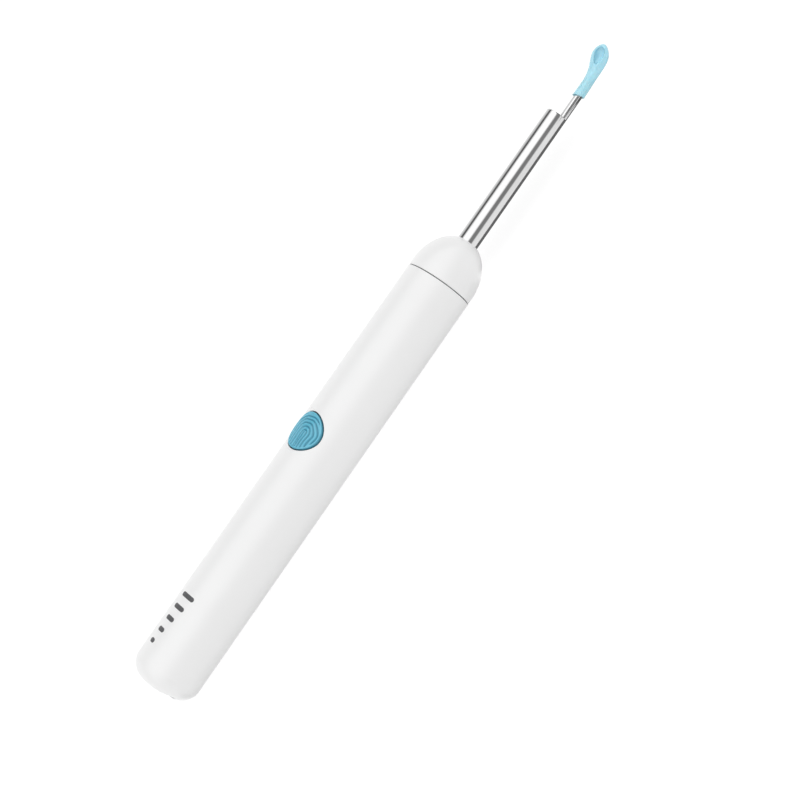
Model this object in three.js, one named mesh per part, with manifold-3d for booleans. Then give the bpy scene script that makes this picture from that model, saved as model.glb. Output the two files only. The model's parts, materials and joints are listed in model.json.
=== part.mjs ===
// Ear wax cleaner: a slim camera pen with a steel lens tube and a soft silicone spoon.
// Millimetres. The pen lies on its side: +X towards the spoon, +Z out of the button, floor at z = 0.
// Inside the pen, x is the distance from the charging end and y = z = 0 is the axis.
import * as THREE from "three";
import { mergeVertices } from "three/addons/utils/BufferGeometryUtils.js";
import Module from "manifold-3d";

const wasm = await Module();
wasm.setup();

// ---------- driving dimensions ----------
const LENGTH = 135.1; // charging end to the top of the spoon
const BODY_R = 6.25; // outer radius of the grip
const WALL = 1; // wall of the sleeve
const BORE_R = BODY_R - WALL;
const FIT = 0.03; // gap between pieces that touch
const SLIDE_FIT = 0.08; // gap round a piece that moves
const END = 0.5; // how far a cutter runs past the face it cuts

const BASE = { flat: 2.5, rise: 3.5, floor: 1.4 }; // the charging end, rounded from its flat
const SEAM_X = 84.2; // where the sleeve meets the nose
const NOSE_X = SEAM_X + 0.18;
const NOSE = { r: 6.22, dome: 85.6, rise: 8, mouth: 2.15, spigot: 78.5, hollow: 4.3 };

const TUBE = { r: 1.95, wall: 0.2, back: 82, front: 120.65 };
const TUBE_BORE = TUBE.r - TUBE.wall;
const FERRULE = { r: 2.85, flange: 4.2, back: 84.3, step: 85.4, front: 89.4 };

const ROD = { r: 0.72, pin: 0.4, pinBack: 114.4, shoulder: TUBE.front + 0.05, front: 128.7 };
const ROD_OFFSET = TUBE.r - ROD.r; // the rod is flush with the outside of the tube
const ROD_TURN = THREE.MathUtils.degToRad(138); // from the button, round the pen
const TIP = { back: 125.6, r: 1.05, front: LENGTH, seatR: ROD.r + FIT };
const TIP_TURN = THREE.MathUtils.degToRad(22); // of the bowl, from the button's side

const BUTTON = { x: 50.2, r: 3.7, proud: 0.2, skirt: 3.75, roof: 4.75, pocket: 3 };
const FACE = { r: 3.5, stands: 0.45 }; // the raised face, with a narrow ledge round it

const BOARD = { back: 3.2, step: 5.2, front: 76.6, bottom: 1.7, top: 2.5, half: 4.5, tab: 3.6 };
const ON_BOARD = BOARD.top + FIT;
const UNDER_BOARD = BOARD.bottom - FIT;
const PORT = { half: 4.47, rise: 1.63, wall: 0.3, back: 0.5, front: 7.85 };
const SWITCH = { long: 3.6, wide: 3.2, top: 4, bore: 0.95, plunger: 0.85, plungerBack: 3.6 };

const CHASSIS = { r: 5.15, wall: 0.45, back: 9, front: 78.45, plate: 77.2, rim: 1.62 };
const CHASSIS_BORE = CHASSIS.r - CHASSIS.wall;
const CELL = { back: 19.7, front: 59.7, half: 3.2, bottom: -4, top: 0.2, corner: 1.2 };
const POSTS = [15.5, 69]; // board screws, along the pen
const POST = { r: 1.2, hole: 0.42, floor: -4.7 };
const BOARD_SCREW = { r: 0.38, head: 0.85, tall: 0.55, end: -0.5 };
const NOSE_SCREW = { y: 3.45, z: -1.5, r: 0.45, head: 0.85, headBack: 76.2, end: 82.5 };
const BOSS = { r: 1.1, hole: 0.48, front: 83.9 };

// In the optics x runs from the mouth of the tube, so it is negative inside.
const LENS_OFFSET = -0.35; // the lens sits beside the rod, not on the tube's axis
const OPTICS_R = 1.7; // what slides into the steel tube
const GUIDE = { back: -0.99, front: -0.55 };
const LED_BOARD = { back: -1.52, front: -1.3 };
const BEZEL = { back: -0.52, front: -0.13, lensR: 0.58, ledR: 0.2 };
const HOUSING = { back: -7, front: -1.55, seat: 0.75, bore: 0.81 };
const BARREL = { back: -6.15, front: -2.15, r: 0.78 };
const LED = { ring: 1.32, half: 0.18, back: -1.27, front: -1.02 };
const LED_ANGLES = [60, 100, 140, 220, 260, 300].map(THREE.MathUtils.degToRad); // from the rod

const ROUND = 64; // sides of the grip
const SMALL_ROUND = 32; // sides of the tube and the button
const TINY_ROUND = 16; // sides of screws, lenses and wires

// ---------- shapes ----------
const TO_X = new THREE.Matrix4().makeBasis(
  new THREE.Vector3(0, 1, 0),
  new THREE.Vector3(0, 0, 1),
  new THREE.Vector3(1, 0, 0),
); // a flat outline in (y, z), extruded along x

// A closed geometry as a solid that can be joined and cut.
function solid(geometry) {
  const bare = geometry.index ? geometry.toNonIndexed() : geometry.clone();
  bare.deleteAttribute("normal");
  bare.deleteAttribute("uv");
  const merged = mergeVertices(bare, 1e-4);
  return new wasm.Manifold(
    new wasm.Mesh({
      numProp: 3,
      vertProperties: merged.attributes.position.array,
      triVerts: new Uint32Array(merged.index.array),
    }),
  );
}

function geometryOf(made) {
  const mesh = made.getMesh();
  const geometry = new THREE.BufferGeometry();
  geometry.setAttribute("position", new THREE.BufferAttribute(mesh.vertProperties, 3));
  geometry.setIndex(new THREE.BufferAttribute(mesh.triVerts, 1));
  geometry.computeVertexNormals();
  return geometry;
}

// Turns a profile of [radius, x] round the axis; the outside runs towards +X.
// A flat side, not an edge, faces straight down.
function turned(profile, sides = SMALL_ROUND) {
  const points = profile.map(([r, x]) => new THREE.Vector2(r, x));
  const geometry = new THREE.LatheGeometry(points, sides, Math.PI / sides);
  return solid(geometry.rotateZ(-Math.PI / 2));
}

function disc(r, back, front, sides) {
  return turned([[0, back], [r, back], [r, front], [0, front]], sides);
}

function ring(inner, outer, back, front, sides) {
  return turned(
    [[inner, back], [outer, back], [outer, front], [inner, front], [inner, back]],
    sides,
  );
}

// A quarter arc of a profile, from `from` to `to` degrees, round [radius, x].
function arc([r, x], [reachR, reachX], from, to, steps) {
  return Array.from({ length: steps + 1 }, (_, i) => {
    const angle = THREE.MathUtils.degToRad(from + ((to - from) * i) / steps);
    return [r + reachR * Math.cos(angle), x + reachX * Math.sin(angle)];
  });
}

function block(back, front, left, right, bottom, top) {
  const geometry = new THREE.BoxGeometry(front - back, right - left, top - bottom);
  return solid(geometry.translate((back + front) / 2, (left + right) / 2, (bottom + top) / 2));
}

// A chip or can: centred on x and y, standing from `bottom` to `top`.
function chip(x, long, wide, bottom, top, y = 0) {
  return block(x - long / 2, x + long / 2, y - wide / 2, y + wide / 2, bottom, top);
}

// A bar of rounded-rectangle section lying along x.
function bar(halfY, halfZ, corner, back, front, z = 0) {
  const shape = new THREE.Shape();
  const y0 = halfY - corner;
  const z0 = halfZ - corner;
  shape.absarc(y0, z0, corner, 0, Math.PI / 2);
  shape.absarc(-y0, z0, corner, Math.PI / 2, Math.PI);
  shape.absarc(-y0, -z0, corner, Math.PI, 1.5 * Math.PI);
  shape.absarc(y0, -z0, corner, 1.5 * Math.PI, 2 * Math.PI);
  shape.closePath();
  const options = { depth: front - back, bevelEnabled: false, curveSegments: 6 };
  const geometry = new THREE.ExtrudeGeometry(shape, options).applyMatrix4(TO_X);
  return solid(geometry.translate(back, 0, z));
}

// A round post standing up along z.
function post(x, y, r, bottom, top, sides = TINY_ROUND) {
  const geometry = new THREE.CylinderGeometry(r, r, top - bottom, sides);
  return solid(geometry.rotateX(Math.PI / 2).translate(x, y, (bottom + top) / 2));
}

// A round pin lying along x, off the axis.
function pin(y, z, r, back, front, sides = TINY_ROUND) {
  const geometry = geometryOf(disc(r, back, front, sides));
  return solid(geometry.translate(0, y, z));
}

// A tube of round section along a smooth curve.
function wire(points, r) {
  const curve = new THREE.CatmullRomCurve3(points.map((p) => new THREE.Vector3(...p)));
  const section = new THREE.Shape().absarc(0, 0, r, 0, 2 * Math.PI);
  const options = { steps: 12, extrudePath: curve, curveSegments: 4 };
  return solid(new THREE.ExtrudeGeometry(section, options));
}

function finish(colour, roughness, metalness = 0) {
  return new THREE.MeshStandardMaterial({ color: colour, roughness, metalness });
}

function add(group, name, made, material) {
  const mesh = new THREE.Mesh(geometryOf(made), material);
  mesh.name = name;
  group.add(mesh);
  return mesh;
}

// ---------- finishes ----------
const shellWhite = finish("#f2f3f4", 0.32);
const seamGrey = finish("#8d8f92", 0.6);
const steel = finish("#b9bbbe", 0.22, 1);
const brass = finish("#c9a35a", 0.35, 1);
const blackPlastic = finish("#1b1c1e", 0.5);
const chassisGrey = finish("#c8cbce", 0.6);
const buttonBlue = finish("#5ab4cc", 0.5);
const siliconeBlue = finish("#a8def0", 0.3);
const glass = finish("#d7e6ee", 0.05);
const filterGlass = finish("#9fc4c9", 0.05);
const boardGreen = finish("#1f6b45", 0.5);
const flexAmber = finish("#c47a2c", 0.45);
const chipBlack = finish("#222326", 0.55);
const ledYellow = finish("#f3e9a6", 0.3);
const ceramic = finish("#d9d5cb", 0.4);
const foilSilver = finish("#c3c6ca", 0.38, 0.8);
const foamBlack = finish("#3a3b3d", 0.95);
const wireRed = finish("#c0392b", 0.5);
const wireBlack = finish("#202020", 0.5);

// ---------- casing ----------
// One moulded tube, closed and rounded at the charging end, open at the nose.
function bodySleeve() {
  const innerRise = BASE.rise - WALL;
  const outside = [BODY_R - BASE.flat, BASE.rise];
  const inside = [BORE_R - BASE.flat, innerRise];
  const shell = turned(
    [
      [0, 0],
      ...arc([BASE.flat, BASE.rise], outside, -90, 0, 10),
      [BODY_R, SEAM_X],
      [BORE_R, SEAM_X],
      ...arc([BASE.flat, BASE.floor + innerRise], inside, 0, -90, 6),
      [0, BASE.floor],
    ],
    ROUND,
  );
  const rise = PORT.rise + SLIDE_FIT;
  const portHole = bar(PORT.half + SLIDE_FIT, rise, rise - 0.01, -END, PORT.front + END);
  const buttonHole = post(BUTTON.x, 0, BUTTON.r + SLIDE_FIT, 0, BODY_R + 1, SMALL_ROUND);
  return shell.subtract(portHole).subtract(buttonHole);
}

// The domed nose, its spigot inside the sleeve, and two bosses for the chassis screws.
function noseCap() {
  const mouthAngle = THREE.MathUtils.radToDeg(Math.acos(NOSE.mouth / NOSE.r));
  const bore = TUBE.r + FIT;
  const seat = FERRULE.r + FIT;
  const spigotR = BORE_R - SLIDE_FIT;
  const shell = turned(
    [
      [NOSE.hollow, NOSE.spigot],
      [spigotR, NOSE.spigot],
      [spigotR, NOSE_X],
      [NOSE.r, NOSE_X],
      ...arc([0, NOSE.dome], [NOSE.r, NOSE.rise], 0, mouthAngle, 14),
      [bore, NOSE.dome + NOSE.rise * Math.sin(THREE.MathUtils.degToRad(mouthAngle)) + 0.05],
      [bore, FERRULE.front + SLIDE_FIT],
      [seat, FERRULE.front + SLIDE_FIT],
      [seat, FERRULE.step + SLIDE_FIT],
      [NOSE.hollow, FERRULE.step + SLIDE_FIT],
      [NOSE.hollow, NOSE.spigot],
    ],
    ROUND,
  );
  return [-1, 1].reduce((made, side) => {
    const y = side * NOSE_SCREW.y;
    const boss = pin(y, NOSE_SCREW.z, BOSS.r, NOSE.spigot, BOSS.front);
    const hole = pin(y, NOSE_SCREW.z, BOSS.hole, NOSE.spigot - END, BOSS.front - END);
    return made.add(boss).subtract(hole);
  }, shell);
}

// The tray that carries the board and the cell, with end plate, ribs and screw posts.
function innerChassis() {
  const tray = ring(CHASSIS_BORE, CHASSIS.r, CHASSIS.back, CHASSIS.front, ROUND);
  const open = block(CHASSIS.back - END, CHASSIS.plate, -CHASSIS.r, CHASSIS.r, CHASSIS.rim, BODY_R);
  const plate = disc(CHASSIS.r, CHASSIS.plate, CHASSIS.front, ROUND);
  const passage = disc(NOSE.hollow / 2 + 0.2, CHASSIS.plate - END, CHASSIS.front + END);
  const ribTop = -1;
  const ribThick = 0.8;
  const ribAt = [CELL.back - 0.3 - ribThick, CELL.front + 1.6];
  const inside = disc(CHASSIS.r - 0.1, CHASSIS.back, CHASSIS.front);
  let made = tray.subtract(open).add(plate).subtract(passage);
  for (const x of ribAt) {
    const wall = block(x, x + ribThick, -BODY_R, BODY_R, -BODY_R, ribTop);
    made = made.add(wall.intersect(inside));
  }
  for (const x of POSTS) {
    made = made.add(post(x, 0, POST.r, POST.floor - 0.2, CHASSIS.rim));
    made = made.subtract(post(x, 0, POST.hole, BOARD_SCREW.end - 0.3, BOARD.top));
  }
  for (const side of [-1, 1]) {
    const hole = pin(side * NOSE_SCREW.y, NOSE_SCREW.z, BOSS.hole, CHASSIS.plate - END, BOSS.front);
    made = made.subtract(hole);
  }
  return made;
}

function boardScrew(x) {
  const head = post(x, 0, BOARD_SCREW.head, ON_BOARD, ON_BOARD + BOARD_SCREW.tall);
  const shank = post(x, 0, BOARD_SCREW.r, BOARD_SCREW.end, ON_BOARD + 0.1);
  const slot = chip(x, 2, 0.22, ON_BOARD + BOARD_SCREW.tall - 0.2, ON_BOARD + 1);
  const cross = chip(x, 0.22, 2, ON_BOARD + BOARD_SCREW.tall - 0.2, ON_BOARD + 1);
  return head.add(shank).subtract(slot).subtract(cross);
}

function noseScrew(side) {
  const y = side * NOSE_SCREW.y;
  const headFront = CHASSIS.plate - FIT;
  const head = pin(y, NOSE_SCREW.z, NOSE_SCREW.head, NOSE_SCREW.headBack, headFront);
  const shank = pin(y, NOSE_SCREW.z, NOSE_SCREW.r, headFront - 0.1, NOSE_SCREW.end);
  return head.add(shank);
}

// ---------- lens tube, rod and spoon ----------
function tubeFerrule() {
  const bore = TUBE.r + FIT;
  return turned([
    [bore, FERRULE.back],
    [FERRULE.flange, FERRULE.back],
    [FERRULE.flange, FERRULE.step],
    [FERRULE.r, FERRULE.step],
    [FERRULE.r, FERRULE.front],
    [bore, FERRULE.front],
    [bore, FERRULE.back],
  ]);
}

// A thin pin inside the tube, a shoulder on its rim, a rod outside and a neck that grips the spoon.
function pickRod() {
  const neck = { back: 126.6, front: 127.2, r: 0.6 };
  return turned(
    [
      [0, ROD.pinBack],
      [ROD.pin, ROD.pinBack],
      [ROD.pin, ROD.shoulder],
      [ROD.r, ROD.shoulder],
      [ROD.r, neck.back],
      [neck.r, neck.back + 0.1],
      [neck.r, neck.front],
      ...arc([ROD.r - 0.35, ROD.front - 0.35], [0.35, 0.35], 0, 90, 4),
      [0, ROD.front],
    ],
    24,
  );
}

// Stations along the spoon: x, lift towards the bowl's side, half width, half thickness.
const SPOON = [
  [TIP.back, 0, TIP.r, TIP.r],
  [126.3, 0, 1.01, 1.01],
  [128, 0, 0.98, 0.98],
  [129.1, 0.1, 0.97, 0.97],
  [130, 0.32, 1.05, 1],
  [130.8, 0.6, 1.19, 1.04],
  [131.65, 1.08, 1.42, 1.08],
  [132.5, 1.6, 1.6, 1.1],
  [133.25, 2, 1.62, 1.08],
  [133.85, 2.28, 1.46, 0.98],
  [134.3, 2.52, 1.18, 0.84],
  [134.66, 2.72, 0.85, 0.64],
  [134.92, 2.86, 0.52, 0.42],
  [135.04, 2.93, 0.28, 0.22],
  [TIP.front, 2.96, 0.02, 0.02],
];
const BOWL = { x: 132.9, lift: 3.2, half: [1.8, 1.08, 1.45], lean: 0.45 };

// The silicone spoon: elliptic sections lofted along a bent spine, with a socket and a bowl.
function spoonTip() {
  const sides = 28;
  const steps = 34;
  const spine = new THREE.CatmullRomCurve3(
    SPOON.map(([x, lift]) => new THREE.Vector3(x, lift, 0)),
    false,
    "centripetal",
  );
  const girth = new THREE.CatmullRomCurve3(
    SPOON.map(([x, , wide, thick]) => new THREE.Vector3(x, wide, thick)),
    false,
    "centripetal",
  );
  const positions = [];
  for (let i = 0; i <= steps; i++) {
    const t = Math.sin((i / steps) * (Math.PI / 2)); // closer sections near the round end
    const centre = spine.getPoint(t);
    const size = girth.getPoint(t);
    for (let j = 0; j < sides; j++) {
      const angle = (2 * Math.PI * (j + 0.5)) / sides;
      const y = size.y * Math.sin(angle);
      const z = centre.y + size.z * Math.cos(angle);
      positions.push(centre.x, y, z);
    }
  }
  const last = steps * sides;
  positions.push(TIP.back, 0, 0, TIP.front, 0, SPOON.at(-1)[1]);
  const index = [];
  for (let j = 0; j < sides; j++) {
    const k = (j + 1) % sides;
    for (let i = 0; i < last; i += sides) {
      index.push(i + j, i + sides + j, i + sides + k, i + j, i + sides + k, i + k);
    }
    index.push(last + sides, j, k, last + sides + 1, last + k, last + j);
  }
  const geometry = new THREE.BufferGeometry();
  geometry.setAttribute("position", new THREE.Float32BufferAttribute(positions, 3));
  geometry.setIndex(index);
  const bowl = new THREE.SphereGeometry(1, 24, 16).scale(...BOWL.half).rotateY(-BOWL.lean);
  bowl.translate(BOWL.x, 0, BOWL.lift);
  const socket = disc(TIP.seatR, TIP.back - END, ROD.front + 0.15, 24);
  return solid(geometry).subtract(solid(bowl)).subtract(socket);
}

// ---------- camera in the end of the tube; +Z points to the rod here ----------
function rodAndLensHoles(back, front, lensR) {
  const pinHole = pin(0, ROD_OFFSET, ROD.pin + FIT, back - END, front + END);
  return pinHole.add(pin(0, LENS_OFFSET, lensR, back - END, front + END, 24));
}

function opticDisc(back, front, lensR) {
  return disc(OPTICS_R, back, front).subtract(rodAndLensHoles(back, front, lensR));
}

function ledPlace(angle) {
  return { y: LED.ring * Math.sin(angle), z: LED.ring * Math.cos(angle) };
}

// The black plug that holds the barrel, with a square seat for the filter behind it.
function moduleHousing() {
  const { back, front, seat, bore } = HOUSING;
  const half = bore + 0.01;
  const pocket = block(back - seat, back + seat, -half, half, LENS_OFFSET - half, LENS_OFFSET + half);
  return opticDisc(back, front, bore).subtract(pocket);
}

// A threaded-in barrel with a wide bore at the front, a narrower one behind and a stop between.
function lensBarrel() {
  const { back, front, r } = BARREL;
  const stop = -4.5;
  return turned(
    [
      [0.5, back],
      [r, back],
      [r, front],
      [0.56, front],
      [0.56, stop + 0.25],
      [0.4, stop + 0.15],
      [0.4, stop - 0.15],
      [0.5, stop - 0.25],
      [0.5, back],
    ],
    24,
  );
}

// A small lens, domed at the front by `crown`.
function lensElement(r, back, front, crown) {
  const dome = arc([0, front], [r, crown], 0, 90, 4);
  return turned([[0, back], [r, back], ...dome.slice(0, -1), [0, front + crown]], 20);
}

function frontBezel() {
  const { back, front, lensR, ledR } = BEZEL;
  let made = opticDisc(back, front, lensR);
  for (const angle of LED_ANGLES) {
    const { y, z } = ledPlace(angle);
    made = made.subtract(pin(y, z, ledR, back - END, front + END, 12));
  }
  return made;
}

// The flat cable from the sensor, down the tube and up to the board.
function cameraFlex() {
  const half = 1.1;
  const thick = 0.12;
  const low = -0.1;
  const high = 1.15;
  const route = [[76.15, high], [79, high], [82.5, low], [TUBE.front - 8.1, low]];
  const shape = new THREE.Shape();
  route.forEach(([x, z], i) => (i ? shape.lineTo(x, z) : shape.moveTo(x, z)));
  route.toReversed().forEach(([x, z]) => shape.lineTo(x, z - thick));
  shape.closePath();
  const geometry = new THREE.ExtrudeGeometry(shape, { depth: 2 * half, bevelEnabled: false });
  return solid(geometry.rotateX(Math.PI / 2).translate(0, half, 0));
}

// ---------- electronics ----------
function mainBoard() {
  const { back, step, front, bottom, top, half, tab } = BOARD;
  let made = block(step, front, -half, half, bottom, top);
  made = made.add(block(back, step + END, -tab, tab, bottom, top));
  for (const x of POSTS) made = made.subtract(post(x, 0, 0.5, bottom - END, top + END));
  return made;
}

function portShell() {
  const { half, rise, wall, back, front } = PORT;
  const corner = rise - 0.01;
  const inside = bar(half - wall, rise - wall, corner - wall, back - END, front + END);
  return bar(half, rise, corner, back, front).subtract(inside);
}

// The moulded insert behind the plug, with the thin tongue that carries the contacts.
function portTongue() {
  const { half, rise, wall, front } = PORT;
  const shrink = wall + FIT;
  const root = bar(half - shrink, rise - shrink, rise - shrink - 0.01, 5.2, front - 0.15);
  return root.add(block(1.1, 5.5, -3.34, 3.34, -0.35, 0.35));
}

function shieldCan() {
  const can = chip(60.75, 9.5, 6.6, ON_BOARD, 3.7);
  return can.subtract(chip(60.75, 9.1, 6.2, ON_BOARD - END, 3.5));
}

function switchBody() {
  const made = chip(BUTTON.x, SWITCH.long, SWITCH.wide, ON_BOARD, SWITCH.top);
  const hole = post(BUTTON.x, 0, SWITCH.bore, 3.2, SWITCH.top + END);
  return made.subtract(hole);
}

// ---------- button ----------
// A round cap that follows the curve of the grip: a raised face, a ledge round it, a hollow
// below and two retaining tabs.
function buttonCap() {
  const { x, r, proud, skirt, roof, pocket } = BUTTON;
  const crown = disc(BODY_R + proud, x - r - 1, x + r + 1, 96);
  const ledge = disc(BODY_R + proud - FACE.stands, x - r - 1, x + r + 1, 96);
  const face = post(x, 0, FACE.r, skirt, BODY_R + 1, SMALL_ROUND).intersect(crown);
  const plug = post(x, 0, r, skirt, BODY_R + 1, SMALL_ROUND).intersect(ledge);
  const tabs = block(x - r - 0.8, x + r + 0.8, -1.5, 1.5, 4.3, 4.85);
  const hollow = post(x, 0, pocket, skirt - END, roof, SMALL_ROUND);
  return face.add(plug).add(tabs).subtract(hollow);
}

// ---------- assembly ----------
const group = new THREE.Group();
const pen = new THREE.Group();
pen.position.set(-LENGTH / 2, 0, BODY_R * Math.cos(Math.PI / ROUND));
group.add(pen);

add(pen, "body_sleeve", bodySleeve(), shellWhite);
add(pen, "seam_gasket", ring(5.2, 6.05, SEAM_X + FIT, NOSE_X - FIT, ROUND), seamGrey);
add(pen, "nose_cap", noseCap(), shellWhite);
add(pen, "inner_chassis", innerChassis(), chassisGrey);
add(pen, "tube_ferrule", tubeFerrule(), brass);
add(pen, "lens_tube", ring(TUBE_BORE, TUBE.r, TUBE.back, TUBE.front, 48), steel);
POSTS.forEach((x, i) => add(pen, `board_screw_${i + 1}`, boardScrew(x), steel));
[-1, 1].forEach((side, i) => add(pen, `nose_screw_${i + 1}`, noseScrew(side), steel));

// Optics: turned about the pen's axis so that +Z points to the rod.
const optics = new THREE.Group();
optics.position.x = TUBE.front;
optics.rotation.x = ROD_TURN;
pen.add(optics);
add(optics, "front_bezel", frontBezel(), blackPlastic);
add(optics, "light_guide", opticDisc(GUIDE.back, GUIDE.front, HOUSING.bore), glass);
add(optics, "led_board", opticDisc(LED_BOARD.back, LED_BOARD.front, HOUSING.bore), boardGreen);
add(optics, "module_housing", moduleHousing(), blackPlastic);
LED_ANGLES.forEach((angle, i) => {
  const { y, z } = ledPlace(angle);
  const lamp = block(LED.back, LED.front, y - LED.half, y + LED.half, z - LED.half, z + LED.half);
  add(optics, `led_${i + 1}`, lamp, ledYellow);
});

const camera = new THREE.Group();
camera.position.z = LENS_OFFSET;
optics.add(camera);
add(camera, "cover_lens", disc(0.76, -0.95, -0.58, 24), glass);
add(camera, "lens_barrel", lensBarrel(), blackPlastic);
add(camera, "lens_element_front", lensElement(0.52, -4.1, -3.6, 0.25), glass);
add(camera, "lens_element_rear", lensElement(0.46, -5.85, -5.35, 0.2), glass);
add(camera, "ir_cut_filter", block(-6.7, -6.5, -0.7, 0.7, -0.7, 0.7), filterGlass);
add(camera, "image_sensor", block(-7.55, -7.05, -0.75, 0.75, -0.75, 0.75), chipBlack);
add(camera, "sensor_board", block(-7.85, -7.6, -1.1, 1.1, -0.9, 1.1), boardGreen);
add(pen, "camera_flex", cameraFlex(), flexAmber);

// Rod and spoon: round the rod's own axis, with +Z towards the button again.
const pick = new THREE.Group();
pick.position.set(0, -ROD_OFFSET * Math.sin(ROD_TURN), ROD_OFFSET * Math.cos(ROD_TURN));
pen.add(pick);
add(pick, "pick_rod", pickRod(), steel);
add(pick, "spoon_tip", spoonTip(), siliconeBlue).rotation.x = TIP_TURN;

// Electronics.
add(pen, "main_board", mainBoard(), boardGreen);
add(pen, "charge_port_shell", portShell(), steel);
add(pen, "charge_port_tongue", portTongue(), blackPlastic);
add(pen, "wifi_shield_can", shieldCan(), foilSilver);
add(pen, "processor_chip", chip(60.75, 5, 5, ON_BOARD, 3.3), chipBlack);
add(pen, "flash_chip", chip(40, 5, 4, ON_BOARD, 3.25), chipBlack);
add(pen, "gyro_chip", chip(34, 2.5, 3, ON_BOARD, 3.4), chipBlack);
add(pen, "charger_chip", chip(11.5, 3, 3, ON_BOARD, 3.3), chipBlack);
add(pen, "power_inductor", chip(22.5, 3, 3, ON_BOARD, 4), chipBlack);
add(pen, "crystal", chip(54.6, 1.6, 2, ON_BOARD, 3.1), foilSilver);
add(pen, "chip_antenna", chip(74, 3.2, 1.6, ON_BOARD, 3.6), ceramic);
add(pen, "status_led", chip(BUTTON.x - 2.35, 0.6, 1.6, ON_BOARD, 3.1), ledYellow);
add(pen, "flex_connector", chip(74.8, 2.5, 4.6, 0.75, UNDER_BOARD), blackPlastic);
add(pen, "switch_body", switchBody(), blackPlastic);

const cellHalfZ = (CELL.top - CELL.bottom) / 2;
const cellZ = (CELL.top + CELL.bottom) / 2;
const cell = bar(CELL.half, cellHalfZ, CELL.corner, CELL.back, CELL.front, cellZ);
add(pen, "battery_cell", cell, foilSilver);
add(pen, "battery_foam", block(22, 58, -2.8, 2.8, CELL.top + FIT, 0.95), foamBlack);
const pcmBack = CELL.front + FIT;
add(pen, "battery_protection_board", block(pcmBack, pcmBack + 0.8, -2.7, 2.7, -3, 0), boardGreen);
for (const [name, side, material] of [["red", 1, wireRed], ["black", -1, wireBlack]]) {
  const y = side * 1.5;
  const route = [[60.15, y, 0.35], [60.3, y, 0.75], [61.4, y, 1], [62.6, y, 1.1], [63, y, 1.35]];
  add(pen, `battery_wire_${name}`, wire(route, 0.28), material);
}

// Button.
add(pen, "button_cap", buttonCap(), buttonBlue);
const plungerTop = BUTTON.roof - FIT;
const plunger = post(BUTTON.x, 0, SWITCH.plunger, SWITCH.plungerBack, plungerTop);
add(pen, "switch_plunger", plunger, ceramic);

export default group;
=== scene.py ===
import json
import math

import bmesh
import bpy
from mathutils import Matrix, Vector


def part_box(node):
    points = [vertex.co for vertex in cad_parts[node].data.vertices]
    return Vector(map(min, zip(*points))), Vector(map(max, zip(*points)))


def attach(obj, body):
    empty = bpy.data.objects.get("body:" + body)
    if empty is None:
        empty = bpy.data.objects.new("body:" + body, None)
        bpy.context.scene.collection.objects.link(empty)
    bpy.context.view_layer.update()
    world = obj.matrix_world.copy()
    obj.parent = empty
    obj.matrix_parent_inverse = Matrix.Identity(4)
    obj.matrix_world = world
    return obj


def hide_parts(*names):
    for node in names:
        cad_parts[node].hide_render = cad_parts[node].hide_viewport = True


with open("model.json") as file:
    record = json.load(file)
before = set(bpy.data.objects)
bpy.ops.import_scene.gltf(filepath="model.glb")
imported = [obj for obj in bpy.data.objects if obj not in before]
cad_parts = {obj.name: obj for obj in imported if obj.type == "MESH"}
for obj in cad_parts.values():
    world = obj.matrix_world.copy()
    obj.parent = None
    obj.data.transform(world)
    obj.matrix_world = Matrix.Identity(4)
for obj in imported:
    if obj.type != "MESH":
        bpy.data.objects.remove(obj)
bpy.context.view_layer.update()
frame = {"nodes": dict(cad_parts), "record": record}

# A camera ear pick lying on its side: a white grip and domed nose, a push button with a
# fingerprint relief, a steel lens tube, and a silicone spoon on a thin rod.
# Shapes are written in millimetres: s along the pen from the charging end, y and z from its axis.

MM = 0.001
FULL = 2 * math.pi
AXIS_Z = (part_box("lens_tube")[0].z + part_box("lens_tube")[1].z) / 2
BACK_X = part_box("body_sleeve")[0].x


def length_at(x):
    """Distance from the charging end, in millimetres, of a place on the frame's x axis."""
    return (x - BACK_X) / MM


# ---------- dimensions, in millimetres ----------
ROUND = 128  # sides of the grip
GRIP_R = AXIS_Z / MM
BORE_R = 5.25
SEAM = length_at(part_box("body_sleeve")[1].x)
TIP_END = length_at(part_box("spoon_tip")[1].x)
SOFT_EDGE = 0.12  # moulded edges of the casing
SEAM_EDGE = 0.06  # the crisper edges of the joint between grip and nose

BASE_FLAT = 2.5  # radius of the flat on the charging end
BASE_RISE = 3.5  # length of the rounding from that flat to the grip
INNER_RISE = BASE_RISE - 1  # the same rounding, inside
FLOOR = 1.4  # inside of the closed end
PORT_GAP = 0.08  # between the port's shell and its opening
PORT = {"half": 4.47, "rise": 1.63, "wall": 0.3, "back": 0.5, "front": 7.85}  # outside of its shell

NOSE = {"back": SEAM + 0.18, "r": 6.22, "dome": 85.6, "rise": 8, "mouth": 2.15}
TUBE = {"r": 1.95, "bore": 1.75, "back": 82, "front": 120.65}

ROD_TURN = math.radians(138)  # from straight up, round the pen towards -y
ROD_OFFSET = 1.23  # from the pen's axis to the rod's
ROD_Y = -ROD_OFFSET * math.sin(ROD_TURN)
ROD_Z = ROD_OFFSET * math.cos(ROD_TURN)
ROD_R = 0.72
ROD_FRONT = 128.7

BUTTON_S = 50.2
BUTTON_R = 3.7
BUTTON_CROWN = 6.446  # radius that the button's face follows round the pen
HOLE_R = 3.78
HOLE_EDGE = 0.05  # rounding of the hole's rim


def at(s, y, z):
    """A point of the pen in the frame's metres."""
    return Vector((BACK_X + s * MM, y * MM, AXIS_Z + z * MM))


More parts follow.
